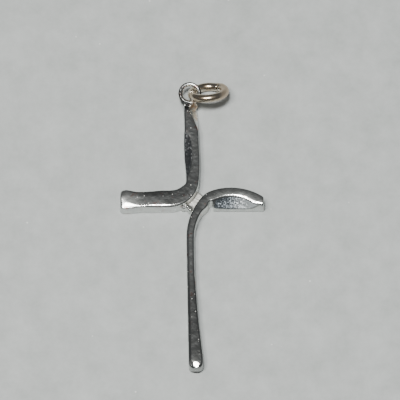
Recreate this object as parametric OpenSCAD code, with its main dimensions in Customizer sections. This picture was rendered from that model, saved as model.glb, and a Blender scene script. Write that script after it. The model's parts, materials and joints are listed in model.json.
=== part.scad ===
// Cross pendant of two bent silver bars, soldered where their bends pass, with an eye and a jump ring.
// It lies on its flat back with the front up. +Y points to the eye, -Y down the stem.

/* [Bars] */
// Thickness of both bars, from the flat back to the front
bar_t = 1.85; // [1.6:0.05:2.2]
// Clear space between the two bends, across the diagonal
bend_gap = 0.80; // [0.7:0.02:1]
// How far the upper bend lies further down the diagonal than the lower one
bend_slide = 1.45; // [1.1:0.05:1.8]
// Size of the rounding along the sharp front edges
edge_r = 0.09; // [0.06:0.01:0.12]
// Rise of the front faces in the middle of their width
front_crown = 0.02; // [0:0.01:0.05]

/* [Upper bar] */
// Length of the straight upper stretch of the upright
upright_len = 7.05; // [6:0.05:9]
// Lean of the upright, its top to the left
upright_lean = 2.5; // [0:0.1:4]
// Length of the bowed stretch above the bend
bow_len = 3.7; // [2.5:0.1:5]
// Turn of the bowed stretch
bow_turn = 7.3; // [5:0.1:10]
// Outer radius of the upper bend
upper_bend_r = 3.8; // [3.4:0.1:4.4]
// Length of the left arm beyond the bend
left_arm_len = 5.85; // [5:0.05:7]
// Width of the upright
upright_w = 1.88; // [1.7:0.02:2.1]
// Width of the left arm
left_arm_w = 2.18; // [1.9:0.02:2.3]
// Width of the knob that ends the left arm
knob_w = 2.52; // [2.2:0.02:2.8]
// Width of the smooth band beside the upper leaf
upper_band_w = 0.92; // [0.8:0.02:1.1]
// Rounding of the knob's corners, seen from the front
knob_r = 0.45; // [0.3:0.05:0.6]
// Width of the bright bevel along the left arm's lower edge
arm_bevel_w = 0.3; // [0.2:0.02:0.4]
// How far the sides of the knob's front drop below its middle
knob_dome = 0.12; // [0:0.01:0.2]

/* [Lower bar] */
// Outer radius of the right arm's arch
arch_r = 6.9; // [6.3:0.05:7.5]
// Sweep of the right arm's arch
arch_sweep = 55.4; // [51:0.2:59]
// Outer radius of the lower bend
lower_bend_r = 2.95; // [2.6:0.05:3.4]
// Radius of the neck between the lower bend and the stem
neck_r = 8.55; // [7.5:0.05:10]
// Length of the stem below the neck
stem_len = 17.45; // [14:0.05:22]
// Width of the stem
stem_w = 1; // [0.84:0.02:1.2]
// Width of the flared foot
foot_w = 1.8; // [1.5:0.02:2.1]
// Rounding of the foot's end, seen from the front, as a share of its width
foot_round = 0.46; // [0.38:0.01:0.47]
// How far the sides of the foot's front drop below its middle
foot_dome = 0.26; // [0.1:0.02:0.36]
// Reach of the right leaf below the crown of the arch
leaf_reach = 2.51; // [2.2:0.01:2.8]
// Width of the smooth band above the right leaf
arch_band_w = 0.98; // [0.84:0.02:1.1]

/* [Leaves] */
// Height of the right leaf's low edge above the back
leaf_edge_h = 0.92; // [0.7:0.02:1.2]
// Height of the upper leaf's low edge above the back
upper_leaf_h = 1.36; // [1.2:0.02:1.5]
// Width of the polished shoulder between the band and the right leaf, at its widest
shoulder_w = 0.44; // [0.3:0.02:0.5]
// Hollow of the leaf faces below a straight slope
leaf_hollow = 0.08; // [0:0.01:0.12]

/* [Solder] */
// Reach of the solder from the crossing towards the lower left
solder_reach = 1.36; // [1.1:0.02:1.6]
// Reach of the solder from the crossing towards the upper right
solder_back = 0.9; // [0.6:0.05:1.2]
// Height of the solder that joins the bends
solder_h = 0.6; // [0.5:0.05:0.9]
// Height of the beads' middles above the back
bead_h = 0.86; // [0.7:0.02:1]
// Radius of the solder beads
bead_r = 0.28; // [0.22:0.02:0.34]

/* [Eye] */
// Outer diameter of the eye
eye_od = 2.66; // [2.6:0.02:3]
// Wire diameter of the eye
eye_wire = 0.42; // [0.38:0.02:0.48]
// Slope of the eye, its far side raised
eye_slope = 10; // [8:1:16]
// How far the middle of the eye lies below the middle of the jump ring
eye_drop = 0.1; // [0.06:0.02:0.14]
// Depth of the eye's wire in the end of the upright
eye_seat = 0.2; // [0.16:0.02:0.3]
// Diameter of the solder at the eye's seat
seat_solder_d = 0.6; // [0.5:0.02:0.64]
// Where the eye's straight leg leaves its round, in degrees from its right side
leg_turn = 193; // [180:1:215]

/* [Jump ring] */
// Outer diameter of the jump ring
ring_od = 5.1; // [4.9:0.1:6]
// Wire diameter of the jump ring
ring_wire = 1.02; // [0.8:0.02:1.06]
// Tilt of the jump ring from the surface that it leans on
ring_tilt = 44; // [43:1:48]
// Turn of the jump ring's far end towards +Y
ring_turn = 7; // [0:1:12]
// How far the middle of the jump ring lies above the middle of the eye, seen from the front
ring_rise = 0.06; // [0:0.02:0.2]
// Width of the slit between the jump ring's ends
ring_slit = 0.14; // [0.08:0.02:0.3]
// Place of the slit, in degrees from the end held by the eye round the lying side
slit_place = 136; // [100:1:150]
// Clearance between the jump ring and the eye
link_clearance = 0.18; // [0.16:0.01:0.24]

/* [Hidden] */
$fn = 64;
silver = [0.78, 0.79, 0.80];

// Spacing of the sections along the bars, and their places near an end
step_len = 0.4;
stem_step_len = 0.9;
end_steps = [0, 0.03, 0.1, 0.2, 0.34, 0.52];
front_steps = 6;
leaf_steps = 4;
rad = PI / 180;

// A bar's path is its outer edge, walked from its leaf end in stretches of [length, turn]. Headings and
// turns are degrees anticlockwise, a heading from +X.
passing_heading = 225;
upper_start = 270 + upright_lean;
upper_bend_turn = upper_start - bow_turn - 180;
upper_path = [
    [upright_len, 0],
    [bow_len, -bow_turn],
    [upper_bend_r * upper_bend_turn * rad, -upper_bend_turn],
    [left_arm_len, 0]
];
arch_end = 199.8;
neck_turn = 39;
stem_heading = 271;
lower_bend_turn = stem_heading - neck_turn - arch_end;
lower_start = arch_end - arch_sweep;
lower_path = [
    [arch_r * arch_sweep * rad, arch_sweep],
    [lower_bend_r * lower_bend_turn * rad, lower_bend_turn],
    [neck_r * neck_turn * rad, neck_turn],
    [stem_len, 0]
];

// [x, y, heading] after a walk of one length and turn from such a place
function walk(p, length, turn) =
    abs(turn) < 0.001
    ? [p.x + length * cos(p.z), p.y + length * sin(p.z), p.z]
    : let (r = length / (turn * rad))
      [p.x + r * (sin(p.z + turn) - sin(p.z)), p.y - r * (cos(p.z + turn) - cos(p.z)), p.z + turn];

// The same after u stretches of a path, the last one in part
function walk_to(path, u, p, k = 0) =
    (u > 1 && k < len(path) - 1)
    ? walk_to(path, u - 1, walk(p, path[k][0], path[k][1]), k + 1)
    : walk(p, path[k][0] * u, path[k][1] * u);

// Smooth value of a column between the rows of a table, with no overshoot
function slope(rows, i, c) =
    (i <= 0 || i >= len(rows) - 1)
    ? 0
    : let (
        before = (rows[i][c] - rows[i - 1][c]) / (rows[i][0] - rows[i - 1][0]),
        after = (rows[i + 1][c] - rows[i][c]) / (rows[i + 1][0] - rows[i][0])
      )
      before * after <= 0 ? 0 : 2 * before * after / (before + after);
function value(rows, u, c, i = 0) =
    (u > rows[i + 1][0] && i < len(rows) - 2)
    ? value(rows, u, c, i + 1)
    : let (
        h = rows[i + 1][0] - rows[i][0],
        t = max(0, min(1, (u - rows[i][0]) / h))
      )
      rows[i][c] * (1 + 2 * t) * (1 - t) * (1 - t) + rows[i + 1][c] * t * t * (3 - 2 * t)
      + h * slope(rows, i, c) * t * (1 - t) * (1 - t) + h * slope(rows, i + 1, c) * t * t * (t - 1);

// Columns of the section tables. Widths are from the bar's path inwards, heights from the back.
BODY = 1;
BULGE = 2;
BEVEL = 3;
OUT_H = 4;
BAND = 5;
SHOULDER = 6;
IN_H = 7;
FRONT_H = 8;
low = bar_t - edge_r;
rim = 0.6 * edge_r;
edge_w = 2.2 * edge_r;
up_w = upright_w;
arm_w = left_arm_w;
upper_rows = [
    // place, body, bulge, bevel, outer wall, band, shoulder, inner wall, front
    [0, 0.89 * up_w, 0, 0.50 * up_w, 0.12 * bar_t, up_w, rim, 0.62 * low, 0.66 * bar_t],
    [0.08, 0.90 * up_w, 0, 0.50 * up_w, 0.14 * bar_t, up_w, rim, 0.86 * low, 0.89 * bar_t],
    [0.17, 0.90 * up_w, 0, 0.48 * up_w, 0.20 * bar_t, up_w, rim, low, bar_t],
    [0.35, 0.91 * up_w, 0, 0.26 * up_w, 0.50 * bar_t, up_w, rim, low, bar_t],
    [0.52, 0.92 * up_w, 0, 0.07 * up_w, 0.85 * bar_t, up_w, rim, low, bar_t],
    [0.58, 0.94 * up_w, 0, edge_r, low, 0.80 * up_w, rim, 0.97 * low, bar_t],
    [0.65, 0.96 * up_w, 0, edge_r, low, 1.19 * upper_band_w, 0.8 * edge_r, 1.15 * upper_leaf_h, bar_t],
    [0.83, 0.99 * up_w, 0, edge_r, low, upper_band_w, 1.1 * edge_r, 1.04 * upper_leaf_h, bar_t],
    [1.10, up_w, 0, edge_r, low, upper_band_w, 1.1 * edge_r, upper_leaf_h, bar_t],
    [1.41, 0.95 * up_w, 0, edge_r, low, 1.10 * upper_band_w, edge_r, 1.05 * upper_leaf_h, bar_t],
    [1.73, 0.89 * up_w, 0, edge_r, low, 1.35 * upper_band_w, 0.8 * edge_r, 1.16 * upper_leaf_h, bar_t],
    [1.90, 0.86 * up_w, 0, edge_r, low, 0.80 * up_w, rim, low, bar_t],
    [2.10, 0.85 * up_w, 0, edge_r, low, 0.80 * up_w, rim, low, bar_t],
    [2.26, 0.97 * up_w, 0, edge_r, low, up_w, rim, low, bar_t],
    [2.62, 0.98 * arm_w, 0, 0.45 * arm_bevel_w, 0.98 * low, arm_w, rim, low, bar_t],
    [2.85, 1.04 * arm_w, 0, 0.85 * arm_bevel_w, 0.97 * low, arm_w, rim, low, bar_t],
    [3.10, 1.05 * arm_w, 0, arm_bevel_w, 0.97 * low, 1.05 * arm_w, rim, low, bar_t],
    [3.37, 0.99 * arm_w, 0, 0.9 * arm_bevel_w, 0.97 * low, arm_w, rim, low, bar_t],
    [3.50, 0.97 * arm_w, 0, 0.5 * arm_bevel_w, 0.99 * low, arm_w, rim, low, bar_t],
    [3.62, 0.83 * knob_w, 0.01 * knob_w, 0.08 * knob_w, 0.98 * low, knob_w, rim, low, bar_t],
    [3.75, 0.88 * knob_w, 0.05 * knob_w, 0.22 * knob_w, 0.94 * low, knob_w, rim, low, bar_t],
    [3.87, 0.94 * knob_w, 0.06 * knob_w, 0.30 * knob_w, 0.90 * low, knob_w, rim, low, bar_t],
    [4.00, 0.92 * knob_w, 0.06 * knob_w, 0.30 * knob_w, 0.88 * low, knob_w, rim, low, bar_t]
];
// Place of the right leaf's left end, and of the neck, where the sections have turned square to the bar
leaf_end = 0.97;
square_from = 2.3;
lower_rows = [
    // place, share of the leaf's full reach, then as above
    [0, 1, 0, edge_r, low, 0.98 * arch_band_w, rim, 1.7 * leaf_edge_h, bar_t],
    [0.08, 1, 0, edge_r, low, 1.08 * arch_band_w, 0.60 * shoulder_w, 1.56 * leaf_edge_h, bar_t],
    [0.21, 1, 0, edge_r, low, 1.24 * arch_band_w, shoulder_w, 1.24 * leaf_edge_h, bar_t],
    [0.38, 1, 0, edge_r, low, 1.02 * arch_band_w, 0.85 * shoulder_w, 1.02 * leaf_edge_h, bar_t],
    [0.55, 1, 0, edge_r, low, 0.98 * arch_band_w, 0.50 * shoulder_w, leaf_edge_h, bar_t],
    [0.74, 1, 0, edge_r, low, 1.05 * arch_band_w, 0.30 * shoulder_w, 1.05 * leaf_edge_h, bar_t],
    [0.87, 1, 0, edge_r, low, 1.19 * arch_band_w, 0.22 * shoulder_w, 1.12 * leaf_edge_h, bar_t],
    [leaf_end, 0.98, 0, edge_r, low, 1.31 * arch_band_w, 0.16 * shoulder_w, 1.3 * leaf_edge_h, bar_t],
    [leaf_end + 0.02, 0, 0, edge_r, low, 1.31 * arch_band_w, rim, low, bar_t],
    [1.20, 0, 0, edge_r, low, 1.19 * arch_band_w, rim, low, bar_t],
    [2.10, 0, 0, edge_r, low, 1.15 * arch_band_w, rim, low, bar_t],
    [2.20, 0, 0, edge_r, low, 1.02 * arch_band_w, rim, low, bar_t],
    [2.34, 0, 0, 1.5 * edge_r, 0.99 * low, 1.10 * stem_w - edge_w, rim, low, bar_t],
    [3.00, 0, 0, 0.30 * stem_w, 0.95 * low, stem_w - edge_w, rim, low, bar_t],
    [3.20, 0, 0, 0.30 * stem_w, 0.95 * low, 0.97 * stem_w - edge_w, rim, low, bar_t],
    [3.43, 0, 0, 0.30 * stem_w, 0.95 * low, 1.14 * stem_w - edge_w, rim, low, bar_t],
    [3.63, 0, 0, 0.18 * foot_w, 0.95 * low, 0.75 * foot_w - edge_w, rim, low, bar_t],
    [3.77, 0, 0, 0.18 * foot_w, 0.95 * low, 0.87 * foot_w - edge_w, rim, low, bar_t],
    [3.87, 0, 0, 0.18 * foot_w, 0.95 * low, 0.96 * foot_w - edge_w, rim, low, bar_t],
    [3.92, 0, 0, 0.18 * foot_w, 0.94 * low, foot_w - edge_w, rim, low, bar_t],
    [3.96, 0, 0, 0.18 * foot_w, 0.92 * low, foot_w - edge_w, rim, 0.97 * low, 0.98 * bar_t],
    [4.00, 0, 0, 0.18 * foot_w, 0.85 * low, foot_w - edge_w, rim, 0.89 * low, 0.93 * bar_t]
];

// Path starts that put both bends either side of the crossing, where their headings are the same
function place_of(path, stretch, turned) = stretch + turned / path[stretch][1];
upper_pass = place_of(upper_path, 2, passing_heading - (upper_start - bow_turn));
lower_pass = place_of(lower_path, 1, passing_heading - arch_end);
along = [cos(passing_heading), sin(passing_heading)];
across = [along.y, -along.x];
function start_for(path, u, heading, target) =
    let (free = walk_to(path, u, [0, 0, heading]))
    [target.x - free.x, target.y - free.y, heading];
upper_from = start_for(upper_path, upper_pass, upper_start, (across * bend_gap + along * bend_slide) / 2);
lower_from = start_for(lower_path, lower_pass, lower_start, -(across * bend_gap + along * bend_slide) / 2);
crown = walk_to(lower_path, (180 - lower_start) / arch_sweep, lower_from);
leaf_line = crown.y - leaf_reach;

// Places of the sections along a path: close together at both ends, even between
function even_places(path, k, step) =
    let (n = max(2, ceil(path[k][0] / step)))
    [for (i = [0 : n - 1]) k + i / n];
function all_places(path, last_step, breaks) =
    let (
        last = len(path) - 1,
        head = [for (s = end_steps) s / path[0][0]],
        tail = [for (i = [len(end_steps) - 1 : -1 : 0]) last + 1 - end_steps[i] / path[last][0]],
        between = [
            for (k = [0 : last])
                for (u = even_places(path, k, k == last ? last_step : step_len))
                    if (u > head[len(head) - 1] + 0.02 && u < tail[0] - 0.01)
                        if (len(breaks) == 0 || u < breaks[0] - 0.01 || u > breaks[len(breaks) - 1] + 0.01)
                            u
        ]
      )
      concat(
        head,
        [for (u = between) if (len(breaks) == 0 || u < breaks[0]) u],
        breaks,
        [for (u = between) if (len(breaks) > 0 && u > breaks[0]) u],
        tail
      );

// How far a rounded end of radius r draws in at a distance from its tip
function drawn_in(r, s) = s < r ? r - sqrt(r * r - (r - s) * (r - s)) : 0;

// One section as [inwards, up] points, from the outer foot over the front to the inner foot
function section(v, body, inset, drop, lift, dome) =
    let (
        a = inset - v[BULGE],
        b = body - inset,
        e = min(edge_r, (b - a) / 8),
        h = v[FRONT_H] - drop - dome,
        out_h = min(v[OUT_H] - drop, h - 0.8 * e),
        in_h = min(v[IN_H] - drop, h - 1.0 * e),
        bevel = min(v[BEVEL], 0.5 * (b - a)),
        f0 = a + bevel,
        shoulder = min(v[SHOULDER], 0.35 * (b - a)),
        f1 = max(f0 + 0.4 * e, min(v[BAND], b - shoulder - 1.6 * e)),
        g = f1 + shoulder,
        g_h = h - 0.36 * shoulder,
        hollow = leaf_hollow * min(1, max(0, (b - g) / leaf_reach * 2 - 0.1))
    )
    concat(
        [[a, lift], [a, out_h], [a + 0.5 * bevel - 0.12 * e, (out_h + h) / 2 + 0.12 * e]],
        [for (i = [0 : front_steps])
            let (t = i / front_steps)
            [f0 + (f1 - f0) * t, h + (dome + front_crown * min(1, (f1 - f0) / stem_w)) * 4 * t * (1 - t)]],
        [[f1 + 0.5 * shoulder, h - 0.12 * shoulder], [g, g_h]],
        [for (i = [1 : leaf_steps])
            let (t = i / leaf_steps)
            [g + (b - 0.4 * e - g) * t, g_h + (in_h - g_h) * t - 4 * hollow * t * (1 - t)]],
        [[b, in_h - 0.7 * e], [b, lift]]
    );

// Skin over equal rings of points, ring after ring, both ends closed
module skin(rings) {
    n = len(rings[0]);
    last = len(rings) - 1;
    points = [for (ring = rings) each ring];
    sides = [
        for (i = [0 : last - 1])
            for (j = [0 : n - 1])
                let (
                    a = i * n + j,
                    b = i * n + (j + 1) % n,
                    c = a + n,
                    d = b + n
                )
                each [[a, d, b], [a, c, d]]
    ];
    near_end = [for (j = [1 : n - 2]) [0, j, j + 1]];
    far_end = [for (j = [1 : n - 2]) [last * n, last * n + j + 1, last * n + j]];
    polyhedron(points, concat(sides, near_end, far_end), convexity = 8);
}

// Rings of one bar. side is 1 where the body lies to the left of the walk, -1 to the right. Each end is
// [rounding seen from the front, rounding of the front face, rounding of the back], and the far one's front
// has a dome of its own.
function rings(path, from, rows, side, start_end, far_end, dome, last_step, breaks = []) =
    let (
        full = [for (k = [0 : len(path) - 1]) path[k][0]],
        whole = full[0] + full[1] + full[2] + full[3]
    )
    [for (u = all_places(path, last_step, breaks))
        let (
            p = walk_to(path, u, from),
            k = min(floor(u), len(path) - 1),
            s = (k > 0 ? full[0] : 0) + (k > 1 ? full[1] : 0) + (k > 2 ? full[2] : 0) + (u - k) * full[k],
            v = [for (c = [0 : FRONT_H]) value(rows, u, c)],
            squared = max(0, min(1, (u - leaf_end) / (square_from - leaf_end))),
            inward = side > 0 ? 270 + squared * (p.z - 180) : p.z - 90,
            plain = v[BAND] + edge_w,
            reach = side > 0 ? (p.y - leaf_line) / -sin(inward) : 0,
            body = side > 0 ? (v[BODY] > 0 ? plain + v[BODY] * (reach - plain) : plain) : v[BODY],
            drawn = [for (i = [0 : 2]) drawn_in(start_end[i], s) + drawn_in(far_end[i], whole - s)],
            domed = dome * pow(max(0, 1 - (whole - s) / dome_len), 2)
        )
        [for (q = section(v, body, drawn[0], drawn[1], drawn[2], domed))
            [p.x + q[0] * cos(inward), p.y + q[0] * sin(inward), q[1]]]
    ];
end_r = 2 * edge_r;
foot_r = foot_round * foot_w;
dome_len = 0.8 * foot_w;
upper_rings = rings(upper_path, upper_from, upper_rows, -1, [end_r, end_r, 0], [knob_r, end_r, 0],
    knob_dome, step_len);
lower_rings = rings(lower_path, lower_from, lower_rows, 1, [end_r, end_r, 0], [foot_r, 0.25 * foot_r, foot_r],
    foot_dome, stem_step_len, [for (i = [-1 : 3]) leaf_end + 0.01 * i]);

// Where the eye and the jump ring stand, each worked out from the sizes
eye_r = (eye_od - eye_wire) / 2;
ring_r = (ring_od - ring_wire) / 2;
link_h = ring_r * sin(ring_tilt) + ring_wire / 2;
top_end = walk_to(upper_path, 0, upper_from);
seat_at = [top_end.x - 0.405 * upright_w, top_end.y + eye_wire / 2 - eye_seat];
eye_at = [
    seat_at.x - eye_r * cos(eye_slope) * sin(ring_turn),
    seat_at.y + eye_r * cos(eye_slope) * cos(ring_turn),
    link_h - eye_drop
];
ring_from_eye = eye_r + ring_r - (ring_wire + eye_wire) / 2 - link_clearance;

ring_at = eye_at + [ring_from_eye, ring_rise, eye_drop];
ring_top = ring_at.y + ring_r * norm([cos(ring_tilt) * cos(ring_turn), sin(ring_turn)]) + ring_wire / 2;

// The middle of the outline, which becomes the origin
outline = concat([for (ring = concat(upper_rings, lower_rings)) each ring], [[ring_at.x, ring_top, 0]]);
xs = [for (q = outline) q.x];
ys = [for (q = outline) q.y];
middle = [(min(xs) + max(xs)) / 2, (min(ys) + max(ys)) / 2, 0];

module upper_bar() {
    skin(upper_rings);
}

module lower_bar() {
    skin([for (ring = lower_rings) [for (j = [len(ring) - 1 : -1 : 0]) ring[j]]]);
}

// Solder between the bends: a web, then beads where it ran out at the lower left
web_r = 0.3 * bend_gap;
web_corners = [
    // along the diagonal, across it
    [-solder_back, 0.78 * bend_gap],
    [-solder_back, -0.52 * bend_gap],
    [solder_reach, 0.52 * bend_gap],
    [solder_reach, -0.80 * bend_gap]
];
beads = [
    // beyond the web's end, across the diagonal, share of the bead radius, share of the beads' height
    [0.45, 0.58 * bend_gap, 1, 0.95],
    [0.06, 0.15 * bend_gap, 1.1, 1.05],
    [0.10, -0.47 * bend_gap, 1.05, 1]
];

module bend_solder() {
    rotate([0, 0, passing_heading]) {
        hull()
            for (corner = web_corners, h = [web_r, solder_h - web_r])
                translate([corner[0], -corner[1], h])
                    sphere(web_r, $fn = 20);
        for (bead = beads)
            hull()
                for (h = [1.15 * bead_r, bead[3] * bead_h])
                    translate([solder_reach + bead[0], -bead[1], h])
                        sphere(bead[2] * bead_r, $fn = 20);
    }
}

// Solder that holds the eye's wire in the end of the upright
module eye_solder() {
    seat_h = eye_at.z - eye_r * sin(eye_slope) - eye_wire / 4;
    hull() {
        translate([seat_at.x, seat_at.y, seat_h])
            sphere(d = seat_solder_d, $fn = 24);
        translate([seat_at.x + eye_wire, seat_at.y - eye_wire, seat_h - eye_wire])
            sphere(d = 1.2 * seat_solder_d, $fn = 24);
    }
}

// Places what follows on the eye's wire, at a turn from its right side
module on_eye(turn) {
    translate(eye_at)
        rotate([0, 0, ring_turn])
            rotate([eye_slope, 0, 0])
                rotate([0, 0, turn])
                    translate([eye_r, 0, 0])
                        children();
}

// The eye is bent from one wire, whose straight leg runs down into the upright's upper left corner
module eye() {
    translate(eye_at)
        rotate([0, 0, ring_turn])
            rotate([eye_slope, 0, 0])
                rotate_extrude($fn = 96)
                    translate([eye_r, 0])
                        circle(d = eye_wire, $fn = 32);
    hull() {
        on_eye(leg_turn)
            sphere(d = eye_wire, $fn = 24);
        translate([top_end.x - 0.76 * upright_w, top_end.y - eye_wire, 0.62 * bar_t])
            sphere(d = 1.15 * eye_wire, $fn = 24);
    }
}

module cross() {
    color(silver)
        translate(-middle) {
            upper_bar();
            lower_bar();
            bend_solder();
            eye();
            eye_solder();
        }
}

module jump_ring() {
    slit_turn = ring_slit / ring_r / rad;
    color(silver)
        translate(-middle)
            translate(ring_at)
                rotate([0, 0, ring_turn])
                    rotate([-ring_tilt, 0, 0])
                        rotate([0, 0, 180 - slit_place + slit_turn / 2])
                            rotate_extrude(angle = 360 - slit_turn, $fn = 128)
                                translate([ring_r, 0])
                                    circle(d = ring_wire, $fn = 48);
}

cross();
jump_ring();
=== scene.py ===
"""Polished silver cross pendant that lies face up on a pale table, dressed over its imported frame."""
import json
import math

import bpy
import numpy as np
from mathutils import Matrix, Vector


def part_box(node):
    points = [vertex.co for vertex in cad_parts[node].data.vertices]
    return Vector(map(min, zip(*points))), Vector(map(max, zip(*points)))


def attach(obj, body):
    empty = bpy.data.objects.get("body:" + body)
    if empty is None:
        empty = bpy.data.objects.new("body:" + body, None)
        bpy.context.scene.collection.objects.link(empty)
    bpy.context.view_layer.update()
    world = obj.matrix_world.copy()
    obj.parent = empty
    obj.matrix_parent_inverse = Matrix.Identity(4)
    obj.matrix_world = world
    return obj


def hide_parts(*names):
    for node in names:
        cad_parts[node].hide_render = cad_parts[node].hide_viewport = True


bl_info = {
    "name": "Silver cross pendant",
    "version": (1, 0, 0),
    "blender": (4, 5, 0),
    "location": "3D View > Sidebar > Pendant",
    "description": "Dresses a small silver cross and its jump ring, and lights them on a pale table",
    "category": "Object",
}

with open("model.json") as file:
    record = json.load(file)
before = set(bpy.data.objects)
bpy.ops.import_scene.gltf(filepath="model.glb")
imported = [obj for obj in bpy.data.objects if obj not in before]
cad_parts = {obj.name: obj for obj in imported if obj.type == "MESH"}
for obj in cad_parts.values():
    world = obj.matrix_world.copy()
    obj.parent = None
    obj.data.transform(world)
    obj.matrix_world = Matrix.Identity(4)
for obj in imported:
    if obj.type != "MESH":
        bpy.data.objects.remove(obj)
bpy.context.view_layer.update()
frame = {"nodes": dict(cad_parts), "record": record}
MM = 0.001

# Places read from the frame, in millimetres, as every length below is where no unit is named
CROSS_LOW = np.array(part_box("cross")[0]) / MM
RING_MOUNT = next(m for m in frame["record"]["mounts"] if m["name"] == "chain_ring")
RING_MIDDLE = Vector(RING_MOUNT["pos_m"]) / MM
RING_AXIS = Vector(RING_MOUNT["axis"]).normalized()

# Thickness of the bars, the point that the camera looks at, and the middle of the solder between the bends
BAR_T = 1.85
AIM = Vector((0.975, 2.999, BAR_T))
CROSSING = np.array([0.55, 3.43])

# The middle of the eye, the mean radius of its wire, and the height up the cross at which it begins
EYE_MIDDLE = np.array(RING_MIDDLE) + [-2.26, -0.06, -0.10]
EYE_R = 1.12
EYE_FROM = 15.6

# The middle of the solder at the eye's seat, and the top of the leg of the eye's wire
SEAT = np.array(RING_MIDDLE) + [-1.75, -1.45, -0.6]
EYE_LEG = np.array([-0.67, 15.75, 1.9])

# Flats filed on the foot's dome, as a point and the way that each faces: the large one that catches the key
# light, and a steeper one to its left. They fade between these two heights up the cross
FOOT_FLATS = ((np.array([0.50, -18.93, 1.755]), np.array([-0.035, -0.280, 0.959])),
              (np.array([0.10, -18.90, 1.725]), np.array([-0.341, -0.261, 0.903])))
FOOT_FADE = (-18.3, -18.1)

# Lowest and highest points of the rough faces of the two leaves, the two ends of the upper one up the cross,
# and the mean weight at which a face takes the leaf's material
RIGHT_LEAF_Z = (0.80, BAR_T - 0.18)
UPPER_LEAF_Z = (1.25, BAR_T - 0.05)
UPPER_LEAF_Y = (CROSSING[1] + 2.6, CROSSING[1] + 8.7)
LEAF_SHARE = 0.4

# Passes of smoothing over the skin and over the eye's wire, and steps from no weight to full weight
SKIN_PASSES = 7
EYE_PASSES = 9
WEIGHT_STEPS = 20

# Sides of the jump ring's wire, steps of its spin, and the rounding of its ends
WIRE_SIDES = 40
SPIN_STEPS = 150
END_ROUNDING = 0.06

# The ways from the cross to its two lights, and their distance and size in metres
KEY_WAY = Vector((-0.07, -0.13, 0.99)).normalized()
WEST_WAY = Vector((-0.29, -0.17, 0.94)).normalized()
LIGHT_DISTANCE = 0.5
LIGHT_SIZE = 0.09


class PENDANT_PG_silver(bpy.types.PropertyGroup):
    """Finish of the cross"""

    skin_step: bpy.props.FloatProperty(
        name="Skin step", description="Size of the faces that skin the cross, in millimetres",
        default=0.066, min=0.05)
    wobble: bpy.props.FloatProperty(
        name="Wobble", description="Depth of the hand-worked unevenness, in millimetres",
        default=0.012, min=0.0)
    eye_swell: bpy.props.FloatProperty(
        name="Eye swell",
        description="Growth that makes up for the smoothing of the eye's wire, in millimetres",
        default=0.10, min=0.0)
    grain_depth: bpy.props.FloatProperty(
        name="Grain depth", description="Depth of the rough leaf faces, in millimetres",
        default=0.03, min=0.0)
    grain_size: bpy.props.FloatProperty(
        name="Grain size", description="Size of the lumps of the rough leaf faces, in millimetres",
        default=0.16, min=0.05)
    silver: bpy.props.StringProperty(
        name="Silver", description="Colour of polished sterling silver, as sRGB hex", default="D5D7D4")
    solder: bpy.props.StringProperty(
        name="Solder", description="Colour of the warm silver solder, as sRGB hex", default="DDBFA0")


class PENDANT_PG_ring(bpy.types.PropertyGroup):
    """Sizes of the jump ring"""

    outer: bpy.props.FloatProperty(
        name="Outer diameter", description="Outer diameter of the jump ring", default=5.1 * MM,
        unit="LENGTH", subtype="DISTANCE")
    wire: bpy.props.FloatProperty(
        name="Wire", description="Diameter of its round wire", default=1.02 * MM,
        unit="LENGTH", subtype="DISTANCE")
    slit: bpy.props.FloatProperty(
        name="Slit", description="Gap between its two ends", default=0.20 * MM,
        unit="LENGTH", subtype="DISTANCE")
    slit_place: bpy.props.FloatProperty(
        name="Slit place", description="Angle from the end in the eye to the slit, round the lying side",
        default=math.radians(136), subtype="ANGLE")
    spring: bpy.props.FloatProperty(
        name="Spring", description="How far the two ends stand apart across the ring", default=0.10 * MM,
        unit="LENGTH", subtype="DISTANCE")


class PENDANT_PG_stage(bpy.types.PropertyGroup):
    """Table, light and camera"""

    table: bpy.props.StringProperty(
        name="Table", description="Colour of the table, as sRGB hex", default="C8CCCC")
    elevation: bpy.props.FloatProperty(
        name="Elevation", description="Height of the camera above the table's horizon",
        default=math.radians(65), subtype="ANGLE")
    view_width: bpy.props.FloatProperty(
        name="View width", description="Width that the camera sees at the cross", default=48.8 * MM,
        unit="LENGTH", subtype="DISTANCE")
    distance: bpy.props.FloatProperty(
        name="Distance", description="Distance from the camera to the cross", default=2.0,
        unit="LENGTH", subtype="DISTANCE")


def linear(hex_colour):
    """An sRGB hex colour as linear RGBA."""
    channels = [int(hex_colour[i:i + 2], 16) / 255 for i in (0, 2, 4)]
    return tuple(c / 12.92 if c <= 0.04045 else ((c + 0.055) / 1.055) ** 2.4 for c in channels) + (1.0,)


def select_only(obj):
    """Leaves one object selected and active."""
    bpy.ops.object.select_all(action="DESELECT")
    obj.select_set(True)
    bpy.context.view_layer.objects.active = obj


def apply_modifier(obj, kind, **settings):
    """Adds one modifier with its settings and applies it."""
    modifier = obj.modifiers.new(kind.lower(), kind)
    for name, value in settings.items():
        setattr(modifier, name, value)
    select_only(obj)
    bpy.ops.object.modifier_apply(modifier=modifier.name)


def settle(obj, scale=1.0):
    """Applies place, turn and scale, so that the object sits at the origin with its place in its mesh."""
    obj.scale = (scale, scale, scale)
    select_only(obj)
    bpy.ops.object.transform_apply(location=True, rotation=True, scale=True)


def points_of(mesh):
    """Vertex places and normals as arrays."""
    places = np.empty(len(mesh.vertices) * 3)
    mesh.vertices.foreach_get("co", places)
    normals = np.empty(len(mesh.vertices) * 3)
    mesh.vertex_normals.foreach_get("vector", normals)
    return places.reshape(-1, 3), normals.reshape(-1, 3)


def ramp(values, low, high):
    """0 below low, 1 above high, smooth between."""
    t = np.clip((values - low) / (high - low), 0, 1)
    return t * t * (3 - 2 * t)


def inside(values, low, high, soft):
    """1 between low and high, fading over soft beyond each."""
    return ramp(values, low - soft, low) * (1 - ramp(values, high, high + soft))


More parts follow.
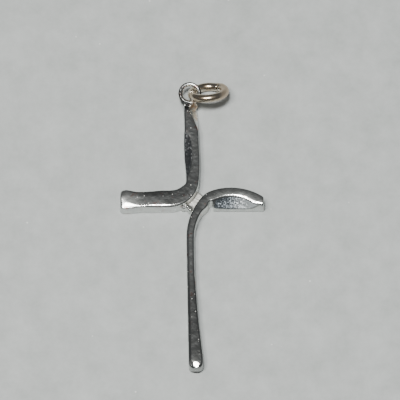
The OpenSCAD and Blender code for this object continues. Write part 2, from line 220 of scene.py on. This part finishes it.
def weigh(obj, name, weights):
    """A vertex group and a point attribute of one name from an array of weights."""
    group = obj.vertex_groups.new(name=name)
    steps = np.round(weights * WEIGHT_STEPS).astype(int)
    for step in range(1, WEIGHT_STEPS + 1):
        chosen = np.nonzero(steps == step)[0]
        if len(chosen):
            group.add(chosen.tolist(), step / WEIGHT_STEPS, "REPLACE")
    attribute = obj.data.attributes.new(name + "_mask", "FLOAT", "POINT")
    attribute.data.foreach_set("value", weights.astype(np.float32))


# Materials

def add(tree, kind, inputs=None, links=(), **settings):
    """One node with its socket values, its own settings and links as (input, node, output)."""
    node = tree.nodes.new(kind)
    for name, value in settings.items():
        setattr(node, name, value)
    for name, value in (inputs or {}).items():
        node.inputs[name].default_value = value
    for name, source, output in links:
        tree.links.new(source.outputs[output], node.inputs[name])
    return node


def start_material(name, **sockets):
    """A material with a principled shader, and Object coordinates in millimetres."""
    material = bpy.data.materials.new(name)
    material.use_nodes = True
    tree = material.node_tree
    shader = tree.nodes["Principled BSDF"]
    for socket, value in sockets.items():
        shader.inputs[socket.replace("_", " ")].default_value = value
    place = add(tree, "ShaderNodeTexCoord")
    in_mm = add(tree, "ShaderNodeMapping", {"Scale": (1 / MM, 1 / MM, 1 / MM)}, [("Vector", place, "Object")])
    return material, tree, shader, in_mm


def colours(node, *stops):
    """Sets a colour ramp's stops from (position, sRGB hex): its first, its last, then those between."""
    elements = node.color_ramp.elements
    for position, colour in stops[2:]:
        elements.new(position).color = linear(colour)
    for element, (position, colour) in zip((elements[0], elements[-1]), stops[:2]):
        element.position = position
        element.color = linear(colour)


def facets(tree, in_mm, per_mm, tilt):
    """Normals that lean at random from one small facet to the next, by the amount that the node tilt gives."""
    cells = add(tree, "ShaderNodeTexVoronoi", {"Scale": per_mm}, [("Vector", in_mm, "Vector")])
    lean = add(tree, "ShaderNodeVectorMath", {1: (0.5, 0.5, 0.5)}, [(0, cells, "Color")],
               operation="SUBTRACT")
    amount = add(tree, "ShaderNodeVectorMath", links=[(0, lean, "Vector"), ("Scale", tilt, "Result")],
                 operation="SCALE")
    surface = add(tree, "ShaderNodeNewGeometry")
    leaned = add(tree, "ShaderNodeVectorMath", links=[(0, surface, "Normal"), (1, amount, "Vector")],
                 operation="ADD")
    return add(tree, "ShaderNodeVectorMath", links=[(0, leaned, "Vector")], operation="NORMALIZE")


def polished_silver(settings):
    """Cast sterling silver, filed and hand polished: a soft mirror with waves, glinting pits and dull solder,
    and finely scratched where it is worn."""
    material, tree, shader, in_mm = start_material("sterling_silver_hand_polished", Metallic=1.0)
    # Tarnish patches of a few tenths of a millimetre warm and dull the mirror a little
    patches = add(tree, "ShaderNodeTexNoise", {"Scale": 1.3, "Detail": 5.0, "Roughness": 0.65},
                  [("Vector", in_mm, "Vector")])
    tint = add(tree, "ShaderNodeValToRGB", links=[("Fac", patches, "Fac")])
    colours(tint, (0.33, "BCA098"), (0.60, settings.silver), (0.40, "C7CACA"))
    warm = add(tree, "ShaderNodeAttribute", attribute_name="solder_mask")
    web = add(tree, "ShaderNodeAttribute", attribute_name="web_mask")
    # The solder's colour, with pale flecks that are painted glints
    flecks = add(tree, "ShaderNodeTexNoise", {"Scale": 3.0, "Detail": 3.0}, [("Vector", in_mm, "Vector")])
    solder_and_painted_glints = add(tree, "ShaderNodeValToRGB", links=[("Fac", flecks, "Fac")])
    colours(solder_and_painted_glints, (0.38, "CDAC8A"), (0.58, "F7EEE0"), (0.47, settings.solder))
    golden = add(tree, "ShaderNodeMix",
                 links=[("Factor", warm, "Fac"), ("A", tint, "Color"), ("B", solder_and_painted_glints, "Color")],
                 data_type="RGBA")
    colour = add(tree, "ShaderNodeMix", {"B": linear("D7D6D1")},
                 [("Factor", web, "Fac"), ("A", golden, "Result")], data_type="RGBA")
    # Painted shade: a dark grey mixed in by this mask paints dark reflection round the eye's wire and shade at
    # its leg, below the right leaf and over the left arm, and darkens flat faces a little
    painted_shade_and_dark_tone = add(tree, "ShaderNodeAttribute", attribute_name="painted_shade_and_dark_tone_mask")
    darkened = add(tree, "ShaderNodeMix", {"B": linear("3A3A39")},
                 [("Factor", painted_shade_and_dark_tone, "Fac"), ("A", colour, "Result")], data_type="RGBA")
    polish = add(tree, "ShaderNodeMapRange",
                 {"From Min": 0.3, "From Max": 0.7, "To Min": 0.20, "To Max": 0.10},
                 [("Value", patches, "Fac")])
    wear = add(tree, "ShaderNodeAttribute", attribute_name="wear_mask")
    scratched = add(tree, "ShaderNodeMix", {"B": 0.32}, [("Factor", wear, "Fac"), ("A", polish, "Result")])
    cast = add(tree, "ShaderNodeMix", {"B": 0.38}, [("Factor", warm, "Fac"), ("A", scratched, "Result")])
    rough = add(tree, "ShaderNodeMix", {"B": 0.52}, [("Factor", web, "Fac"), ("A", cast, "Result")])
    # Casting pits a tenth of a millimetre wide, whose rough walls scatter the key light as white specks, and
    # whose near-white colour is a painted glint that brightens them. The eye is bent from drawn wire, so it
    # has none
    pits = add(tree, "ShaderNodeTexVoronoi", {"Scale": 2.1}, [("Vector", in_mm, "Vector")])
    depth = add(tree, "ShaderNodeSeparateColor", links=[("Color", pits, "Color")])
    wire = add(tree, "ShaderNodeAttribute", attribute_name="eye_wire_mask")
    deepest = add(tree, "ShaderNodeMapRange", {"To Min": 1.0, "To Max": 0.0}, [("Value", wire, "Fac")])
    deep = add(tree, "ShaderNodeMapRange", {"From Min": 0.25, "From Max": 0.80, "To Min": 0.0},
               [("Value", depth, "Red"), ("To Max", deepest, "Result")])
    in_pit = add(tree, "ShaderNodeMapRange", {"From Min": 0.17, "From Max": 0.08, "To Min": 0.0},
                 [("Value", pits, "Distance"), ("To Max", deep, "Result")])
    bright = add(tree, "ShaderNodeMix", {"B": linear("FFFDFA")},
                 [("Factor", in_pit, "Result"), ("A", darkened, "Result")], data_type="RGBA")
    tree.links.new(bright.outputs["Result"], shader.inputs["Base Color"])
    pitted = add(tree, "ShaderNodeMix", {"B": 0.50}, [("Factor", in_pit, "Result"), ("A", rough, "Result")])
    tree.links.new(pitted.outputs["Result"], shader.inputs["Roughness"])
    # Hammered and buffed waves, and wheel marks drawn coarser than the real ones so that they show
    waves = add(tree, "ShaderNodeTexNoise", {"Scale": 1.5, "Detail": 2.0}, [("Vector", in_mm, "Vector")])
    stretched = add(tree, "ShaderNodeMapping",
                    {"Scale": (1.0, 4.0, 4.0), "Rotation": (0, 0, math.radians(35))},
                    [("Vector", in_mm, "Vector")])
    marks = add(tree, "ShaderNodeTexNoise", {"Scale": 3.5, "Detail": 3.0}, [("Vector", stretched, "Vector")])
    bump_waves = add(tree, "ShaderNodeBump", {"Strength": 0.55, "Distance": 0.06 * MM},
                     [("Height", waves, "Fac")])
    bump = add(tree, "ShaderNodeBump", {"Strength": 0.12, "Distance": 0.02 * MM},
               [("Height", marks, "Fac"), ("Normal", bump_waves, "Normal")])
    tree.links.new(bump.outputs["Normal"], shader.inputs["Normal"])
    return material


def textured_silver(name, low, high, roughness, per_mm, tilt):
    """Sterling silver left rough from a burr: leaning facets that sparkle against oxidised hollows. The low
    colour and the first roughness and tilt hold at the leaf's inner end, the others at its outer end. Where
    the high colour is lighter, it is painted sheen, standing in for the key light that the outer end catches."""
    material, tree, shader, in_mm = start_material(name, Metallic=1.0)
    along = add(tree, "ShaderNodeSeparateXYZ", links=[("Vector", in_mm, "Vector")])
    outer = add(tree, "ShaderNodeMapRange", {"From Min": 4.2, "From Max": 7.2}, [("Value", along, "X")],
                interpolation_type="SMOOTHSTEP")
    lumps = add(tree, "ShaderNodeTexNoise", {"Scale": 4.0, "Detail": 5.0, "Roughness": 0.75},
                [("Vector", in_mm, "Vector")])
    tint = add(tree, "ShaderNodeMix", {"A": linear(low), "B": linear(high)}, [("Factor", outer, "Result")],
               data_type="RGBA")
    most = add(tree, "ShaderNodeMapRange", {"To Min": 0.60, "To Max": 0.30}, [("Value", outer, "Result")])
    oxide = add(tree, "ShaderNodeMapRange", {"From Min": 0.36, "From Max": 0.60, "To Max": 0.0},
                [("Value", lumps, "Fac"), ("To Min", most, "Result")])
    colour = add(tree, "ShaderNodeMix", {"B": linear("3E444C")},
                 [("Factor", oxide, "Result"), ("A", tint, "Result")], data_type="RGBA")
    tree.links.new(colour.outputs["Result"], shader.inputs["Base Color"])
    rough = add(tree, "ShaderNodeMix", {"A": roughness[0], "B": roughness[1]}, [("Factor", outer, "Result")])
    tree.links.new(rough.outputs["Result"], shader.inputs["Roughness"])
    lean = add(tree, "ShaderNodeMix", {"A": tilt[0], "B": tilt[1]}, [("Factor", outer, "Result")])
    leaning = facets(tree, in_mm, per_mm, lean)
    bump = add(tree, "ShaderNodeBump", {"Strength": 0.35, "Distance": 0.03 * MM},
               [("Height", lumps, "Fac"), ("Normal", leaning, "Vector")])
    tree.links.new(bump.outputs["Normal"], shader.inputs["Normal"])
    return material


def drawn_wire():
    """Drawn silver wire, coiled and tumbled: a bright skin with small tool dents, matt and yellowed beyond
    its slit, where it was gripped."""
    material, tree, shader, in_mm = start_material("silver_wire_tumbled", Metallic=1.0)
    along = add(tree, "ShaderNodeSeparateXYZ", links=[("Vector", in_mm, "Vector")])
    gripped = add(tree, "ShaderNodeMapRange",
                  {"From Min": RING_MIDDLE.x + 1.2, "From Max": RING_MIDDLE.x + 1.8},
                  [("Value", along, "X")], interpolation_type="SMOOTHSTEP")
    patches = add(tree, "ShaderNodeTexNoise", {"Scale": 0.9, "Detail": 3.0}, [("Vector", in_mm, "Vector")])
    tint = add(tree, "ShaderNodeValToRGB", links=[("Fac", patches, "Fac")])
    colours(tint, (0.36, "BEAC94"), (0.62, "DAD1C2"))
    colour = add(tree, "ShaderNodeMix", {"B": linear("D2C0AA")},
                 [("Factor", gripped, "Result"), ("A", tint, "Color")], data_type="RGBA")
    tree.links.new(colour.outputs["Result"], shader.inputs["Base Color"])
    polish = add(tree, "ShaderNodeMapRange",
                 {"From Min": 0.3, "From Max": 0.7, "To Min": 0.26, "To Max": 0.16},
                 [("Value", patches, "Fac")])
    rough = add(tree, "ShaderNodeMix", {"B": 0.48}, [("Factor", gripped, "Result"), ("A", polish, "Result")])
    tree.links.new(rough.outputs["Result"], shader.inputs["Roughness"])
    dents = add(tree, "ShaderNodeTexNoise", {"Scale": 3.2, "Detail": 2.0}, [("Vector", in_mm, "Vector")])
    bump = add(tree, "ShaderNodeBump", {"Strength": 0.6, "Distance": 0.02 * MM}, [("Height", dents, "Fac")])
    tree.links.new(bump.outputs["Normal"], shader.inputs["Normal"])
    return material


def table_paint(settings):
    """Matt white laminate under dim light: a pale grey with a barely visible mottle and rare bright
    grains."""
    material, tree, shader, in_mm = start_material("matt_pale_laminate", Roughness=0.6,
                                                   Specular_IOR_Level=0.3)
    mottle = add(tree, "ShaderNodeTexNoise", {"Scale": 0.25, "Detail": 6.0, "Roughness": 0.75},
                 [("Vector", in_mm, "Vector")])
    tint = add(tree, "ShaderNodeValToRGB", links=[("Fac", mottle, "Fac")])
    colours(tint, (0.30, "B1B6B5"), (0.70, settings.table))
    grains = add(tree, "ShaderNodeTexVoronoi", {"Scale": 0.30}, [("Vector", in_mm, "Vector")])
    in_grain = add(tree, "ShaderNodeMapRange",
                   {"From Min": 0.045, "From Max": 0.02, "To Min": 0.0, "To Max": 0.7},
                   [("Value", grains, "Distance")])
    colour = add(tree, "ShaderNodeMix", {"B": linear("F2F2F0")},
                 [("Factor", in_grain, "Result"), ("A", tint, "Color")], data_type="RGBA")
    tree.links.new(colour.outputs["Result"], shader.inputs["Base Color"])
    return material


# The cross

def skinned_cross(settings):
    """The cross's solid, copied in millimetres, merged, skinned with even small faces and smoothed."""
    piece = bpy.data.objects.new("silver_cross", frame["nodes"]["cross"].data.copy())
    bpy.context.scene.collection.objects.link(piece)
    piece.data.materials.clear()
    piece.data.transform(Matrix.Scale(1 / MM, 4))
    select_only(piece)
    bpy.ops.object.mode_set(mode="EDIT")
    bpy.ops.mesh.select_all(action="SELECT")
    bpy.ops.mesh.remove_doubles(threshold=0.001)
    bpy.ops.object.mode_set(mode="OBJECT")
    step = settings.skin_step * 1
    apply_modifier(piece, "REMESH", mode="VOXEL", voxel_size=step, use_smooth_shade=True)
    places, _ = points_of(piece.data)
    weigh(piece, "off_back", ramp(places[:, 2], 0.1, 0.4))
    apply_modifier(piece, "SMOOTH", factor=0.5, iterations=SKIN_PASSES, vertex_group="off_back")
    eye, rim = eye_weights(places)
    weigh(piece, "eye", eye * (0.25 + 0.75 * rim))
    apply_modifier(piece, "DISPLACE", strength=settings.eye_swell, mid_level=0.0, vertex_group="eye")
    weigh(piece, "eye_wire", eye)
    apply_modifier(piece, "SMOOTH", factor=0.5, iterations=EYE_PASSES, vertex_group="eye_wire")
    file_foot(piece)
    return piece


def file_foot(piece):
    """Files small flats on the foot's dome."""
    places, _ = points_of(piece.data)
    for point, facing in FOOT_FLATS:
        proud = np.maximum((places - point) @ facing, 0) * (1 - ramp(places[:, 1], *FOOT_FADE))
        places -= proud[:, None] * facing
    piece.data.vertices.foreach_set("co", places.ravel())
    piece.data.update()


def eye_weights(places):
    """How much each point belongs to the eye, and to the outer side of its wire."""
    away = np.linalg.norm((places - EYE_MIDDLE)[:, :2], axis=1)
    eye = ramp(places[:, 1], EYE_FROM, EYE_FROM + 0.5) * ramp(places[:, 2], 0.3, 0.8)
    return eye, ramp(away, EYE_R - 0.08, EYE_R + 0.06)


def leaf_weights(places, normals):
    """How much each point belongs to the rough face of the upper leaf, and to that of the right leaf."""
    # Ramps over the places bound each face, and ramps over the normals pick the surface that leans its way
    x, y, z = places.T
    upper = inside(y, *UPPER_LEAF_Y, 0.3) * (1 - ramp(x, 0.1, 0.3))
    upper *= ramp(-normals[:, 0], 0.15, 0.30) * inside(z, *UPPER_LEAF_Z, 0.04)
    upper *= ramp(normals[:, 2], 0.25, 0.45)
    right = ramp(x, 2.55, 2.7) * (1 - ramp(x, 8.5, 8.7)) * ramp(-normals[:, 1], 0.15, 0.3)
    steep = 0.35 - 0.22 * ramp(x, 6.6, 7.6)
    right *= inside(z, *RIGHT_LEAF_Z, 0.04) * ramp(normals[:, 2], steep - 0.1, steep + 0.1)
    right *= ramp(y - right_leaf_edge(x), 0.0, 0.05) * (1 - ramp(z - 2.2 * (x - 2.6), 0.80, 0.90))
    return upper, right


def right_leaf_edge(x):
    """Where the lower edge of the right leaf's rough face lies: straight, then rising to the tip."""
    return 2.25 + 0.135 * np.maximum(x - 6.9, 0)


def roughen(piece, settings):
    """Raises the burr marks on the leaf faces, and waves the polished faces a little."""
    waves = bpy.data.textures.new("hand_waves", "CLOUDS")
    waves.noise_scale = 2.2
    waves.noise_depth = 2
    apply_modifier(piece, "DISPLACE", texture=waves, strength=2 * settings.wobble, mid_level=0.5,
                   vertex_group="off_back", texture_coords="LOCAL")
    nicks = bpy.data.textures.new("burr_nicks", "STUCCI")
    nicks.noise_scale = settings.grain_size
    nicks.turbulence = 8
    apply_modifier(piece, "DISPLACE", texture=nicks, strength=settings.grain_depth, mid_level=0.5,
                   vertex_group="leaf", texture_coords="LOCAL")


def solder_weights(places):
    """How much each point belongs to the warm solder, a ball at the eye's seat and a strip below it, and to
    the rough solder of the bends, less at its beads."""
    warm = 1 - ramp(np.linalg.norm((places - SEAT) / [1.0, 1.0, 1.4], axis=1), 0.34, 0.68)
    below = np.linalg.norm((places - SEAT - [0.25, -1.0, -0.1]) / [0.85, 1.8, 1.3], axis=1)
    warm = np.maximum(warm, 0.9 * (1 - ramp(below, 0.35, 0.8)))
    away = np.linalg.norm(places[:, :2] - CROSSING - [-0.3, -0.3], axis=1)
    web = (1 - ramp(away, 1.7, 2.1)) * (1 - ramp(places[:, 2], 1.15, 1.3))
    web *= 1 - 0.7 * (1 - ramp(places[:, 0], -0.1, 0.3)) * (1 - ramp(places[:, 1], 2.6, 3.0))
    return warm, web


def wear_weights(places):
    """How finely scratched each point is: the foot's end, the knob, the outer half of the right arm and the
    eye."""
    x, y, _ = places.T
    foot = 0.25 * (1 - ramp(y, CROSS_LOW[1] + 0.9, CROSS_LOW[1] + 1.7))
    knob = 0.6 * (1 - ramp(x, CROSS_LOW[0] + 1.8, CROSS_LOW[0] + 3.4))
    eye = 0.7 * ramp(y, EYE_FROM, EYE_FROM + 0.3)
    arm = 0.28 * ramp(x, 1.5, 4.5)
    return np.maximum.reduce([foot, knob, arm, eye])


def painted_shade_and_dark_tone_weights(places, normals):
    """How much dark grey each point takes: painted dark reflection on the outer side of the eye's wire,
    painted shade at its leg, a painted shade line below the right leaf and painted shade over the left arm's
    upper half;
    and a little darkening on the flat top faces near the bends and where they face straight up along the right
    arm, up the upright, and more towards the foot down the stem."""
    x, y, z = places.T
    _, rim = eye_weights(places)
    # Painted dark reflection round the eye's wire, painted shade at its leg, a painted shade line below the
    # right leaf and painted shade over the left arm's upper half
    around_eye = 0.9 * rim * ramp(y, EYE_FROM + 0.3, EYE_FROM + 0.7)
    leg = 0.85 * (1 - ramp(np.linalg.norm(places - EYE_LEG, axis=1), 0.35, 0.55))
    line = 0.6 * inside(y - right_leaf_edge(x), -0.06, 0.02, 0.03) * ramp(x, 2.7, 2.9)
    line *= ramp(-normals[:, 1], 0.2, 0.4) * ramp(normals[:, 2], 0.06, 0.14) * (1 - ramp(z, 1.60, 1.66))
    arm = 0.45 * ramp(y, 3.2, 3.8) * ramp(x, -8.0, -7.2) * (1 - ramp(x, -2.8, -1.6))
    # Darker towards the foot down the stem, and a little darker up the upright and on the flat top faces
    stem = 0.38 * (1 - ramp(y, -11.0, -3.0))
    upright = 0.15 * ramp(y, 5.0, 7.0) * ramp(z, 1.3, 1.6) * (1 - ramp(y, 15.4, 15.8))
    on_top = ramp(z, 1.6, 1.8)
    bends = 0.24 * (1 - ramp(np.linalg.norm(places[:, :2] - CROSSING, axis=1), 3.0, 5.0)) * on_top
    arch = 0.10 * ramp(x, 1.5, 3.5) * ramp(normals[:, 2], 0.96, 0.995) * on_top
    return np.maximum.reduce([around_eye, leg, line, arm, stem, upright, bends, arch])


class PENDANT_OT_cross(bpy.types.Operator):
    """Skins the soldered cross, roughens its two leaf faces and polishes the rest"""

    bl_idname = "pendant.cross"
    bl_label = "Silver cross"

    def execute(self, context):
        settings = context.scene.pendant_silver
        piece = skinned_cross(settings)
        places, normals = points_of(piece.data)
        upper, right = leaf_weights(places, normals)
        warm, web = solder_weights(places)
        weigh(piece, "leaf", np.maximum.reduce([0.5 * upper, right, 0.3 * warm, 0.8 * web]))
        weigh(piece, "solder", warm)
        weigh(piece, "web", web)
        # Painted shade and a darker tone, kept off the warm solder
        weigh(piece, "painted_shade_and_dark_tone", painted_shade_and_dark_tone_weights(places, normals) * (1 - warm))
        weigh(piece, "wear", wear_weights(places))
        roughen(piece, settings)
        piece.data.materials.append(polished_silver(settings))
        piece.data.materials.append(textured_silver(
            "sterling_silver_burr_oxidised", low="8E9092", high="8E9092", roughness=(0.30, 0.30), per_mm=6.0,
            tilt=(0.40, 0.40)))
        # The right leaf grows lighter towards its outer end: painted sheen where it catches the key light
        piece.data.materials.append(textured_silver(
            "sterling_silver_burr_bright", low="80878D", high="E6EBEE", roughness=(0.46, 0.60), per_mm=9.0,
            tilt=(0.66, 0.50)))
        for face in piece.data.polygons:
            corners = list(face.vertices)
            if upper[corners].mean() > LEAF_SHARE:
                face.material_index = 1
            elif right[corners].mean() > LEAF_SHARE:
                face.material_index = 2
        settle(piece, MM)
        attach(piece, "root")
        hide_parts("cross")
        return {"FINISHED"}


class PENDANT_OT_jump_ring(bpy.types.Operator):
    """Spins the jump ring's wire round to its slit, with its two ends sprung a little apart"""

    bl_idname = "pendant.jump_ring"
    bl_label = "Jump ring"

    def execute(self, context):
        settings = context.scene.pendant_ring
        ring_r = (settings.outer - settings.wire) / 2 / MM
        wire_r = settings.wire / 2 / MM
        slit = settings.slit / MM / ring_r
        bpy.ops.object.select_all(action="DESELECT")
        start = math.pi - settings.slit_place + slit / 2
        bpy.ops.mesh.primitive_circle_add(vertices=WIRE_SIDES, radius=wire_r, fill_type="NGON",
                                          location=(ring_r, 0, 0), rotation=(math.pi / 2, 0, 0))
        piece = context.object
        piece.name = "jump_ring_wire"
        settle(piece)
        bpy.ops.object.mode_set(mode="EDIT")
        bpy.ops.mesh.select_all(action="SELECT")
        bpy.ops.mesh.spin(steps=SPIN_STEPS, angle=-(2 * math.pi - slit), center=(0, 0, 0), axis=(0, 0, 1))
        bpy.ops.mesh.select_all(action="SELECT")
        bpy.ops.mesh.remove_doubles(threshold=0.0001)
        bpy.ops.mesh.normals_make_consistent(inside=False)
        bpy.ops.object.mode_set(mode="OBJECT")
        apply_modifier(piece, "BEVEL", width=END_ROUNDING, segments=3, limit_method="ANGLE",
                       angle_limit=math.radians(60))
        for vertex in piece.data.vertices:
            turn = math.atan2(vertex.co.y, vertex.co.x) % (2 * math.pi)
            near_end = ramp(abs(turn - math.pi), 1.2, 3.1)
            vertex.co.z += settings.spring / MM * (turn / (2 * math.pi) - 0.5) * near_end
        piece.data.transform(Matrix.Rotation(start, 4, "Z"))
        across = Vector((RING_AXIS.y, -RING_AXIS.x, 0)).normalized()
        turned = Matrix((across, RING_AXIS.cross(across), RING_AXIS)).transposed().to_4x4()
        piece.data.transform(Matrix.Translation(RING_MIDDLE) @ turned)
        select_only(piece)
        bpy.ops.object.shade_smooth_by_angle(angle=math.radians(40))
        piece.data.materials.append(drawn_wire())
        settle(piece, MM)
        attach(piece, "root")
        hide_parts("jump_ring")
        return {"FINISHED"}


# Table, light and camera

def softbox(name, middle, way, power, colour):
    """A round area light that lies that way from the middle, in metres, and faces it."""
    place = middle + way * LIGHT_DISTANCE
    bpy.ops.object.light_add(type="AREA", location=place)
    light = bpy.context.object
    light.name = name
    light.data.shape = "DISK"
    light.data.size = LIGHT_SIZE
    light.data.energy = power
    light.data.color = linear(colour)[:3]
    light.rotation_euler = (middle - place).to_track_quat("-Z", "Y").to_euler()


def dim_room():
    """A dim room that lightens towards the key light, with a dark horizon."""
    world = bpy.data.worlds.new("dim_room")
    bpy.context.scene.world = world
    world.use_nodes = True
    tree = world.node_tree
    background = tree.nodes["Background"]
    place = add(tree, "ShaderNodeTexCoord")
    towards = add(tree, "ShaderNodeVectorMath", {1: KEY_WAY}, [(0, place, "Generated")],
                  operation="DOT_PRODUCT")
    shade = add(tree, "ShaderNodeValToRGB", links=[("Fac", towards, "Value")])
    colours(shade, (0.10, "5A5C5D"), (0.97, "B4B4B2"), (0.62, "58595A"), (0.736, "58595A"), (0.79, "5C5D5D"),
            (0.835, "666767"), (0.90, "9C9C9B"))
    tree.links.new(shade.outputs["Color"], background.inputs["Color"])


class PENDANT_OT_stage(bpy.types.Operator):
    """Lays the pale table, hangs the soft lights and sets the camera at the photograph's angle"""

    bl_idname = "pendant.stage"
    bl_label = "Table, light and camera"

    def execute(self, context):
        settings = context.scene.pendant_stage
        bpy.ops.object.select_all(action="DESELECT")
        bpy.ops.mesh.primitive_plane_add(size=3.0)
        table = context.object
        table.name = "table"
        table.data.materials.append(table_paint(settings))
        middle = AIM * MM
        dim_room()
        softbox("key_softbox", middle, KEY_WAY, 2.35, "FFFFFC")
        softbox("west_softbox", middle, WEST_WAY, 1.0, "FFFCF6")
        # The lens is set so that the view width holds at the distance of the cross
        camera_data = bpy.data.cameras.new("camera")
        camera = bpy.data.objects.new("camera", camera_data)
        context.scene.collection.objects.link(camera)
        back = Vector((0, -math.cos(settings.elevation), math.sin(settings.elevation)))
        camera.location = middle + back * settings.distance
        camera.rotation_euler = (-back).to_track_quat("-Z", "Y").to_euler()
        camera_data.lens = camera_data.sensor_width * settings.distance / settings.view_width
        camera_data.clip_start = 0.01
        camera_data.clip_end = 20
        context.scene.camera = camera
        return {"FINISHED"}


class PENDANT_PT_sidebar(bpy.types.Panel):
    """Lists the pendant's pieces and their settings"""

    bl_idname = "PENDANT_PT_sidebar"
    bl_label = "Pendant"
    bl_space_type = "VIEW_3D"
    bl_region_type = "UI"
    bl_category = "Pendant"

    def draw(self, context):
        for settings, operator in (("pendant_silver", "pendant.cross"), ("pendant_ring", "pendant.jump_ring"),
                                   ("pendant_stage", "pendant.stage")):
            box = self.layout.box()
            group = getattr(context.scene, settings)
            for name in group.__annotations__:
                box.prop(group, name)
            box.operator(operator)


CLASSES = (PENDANT_PG_silver, PENDANT_PG_ring, PENDANT_PG_stage, PENDANT_OT_cross, PENDANT_OT_jump_ring,
           PENDANT_OT_stage, PENDANT_PT_sidebar)
GROUPS = {"pendant_silver": PENDANT_PG_silver, "pendant_ring": PENDANT_PG_ring,
          "pendant_stage": PENDANT_PG_stage}


def register():
    """Registers the classes, and hangs their settings on the scene."""
    for cls in CLASSES:
        bpy.utils.register_class(cls)
    for name, group in GROUPS.items():
        setattr(bpy.types.Scene, name, bpy.props.PointerProperty(type=group))


def unregister():
    """Takes the settings and the classes away again."""
    for name in GROUPS:
        delattr(bpy.types.Scene, name)
    for cls in reversed(CLASSES):
        bpy.utils.unregister_class(cls)


def main():
    """Builds the pendant and its stage."""
    register()
    bpy.ops.pendant.stage()
    bpy.ops.pendant.cross()
    bpy.ops.pendant.jump_ring()


if __name__ == "__main__":
    main()
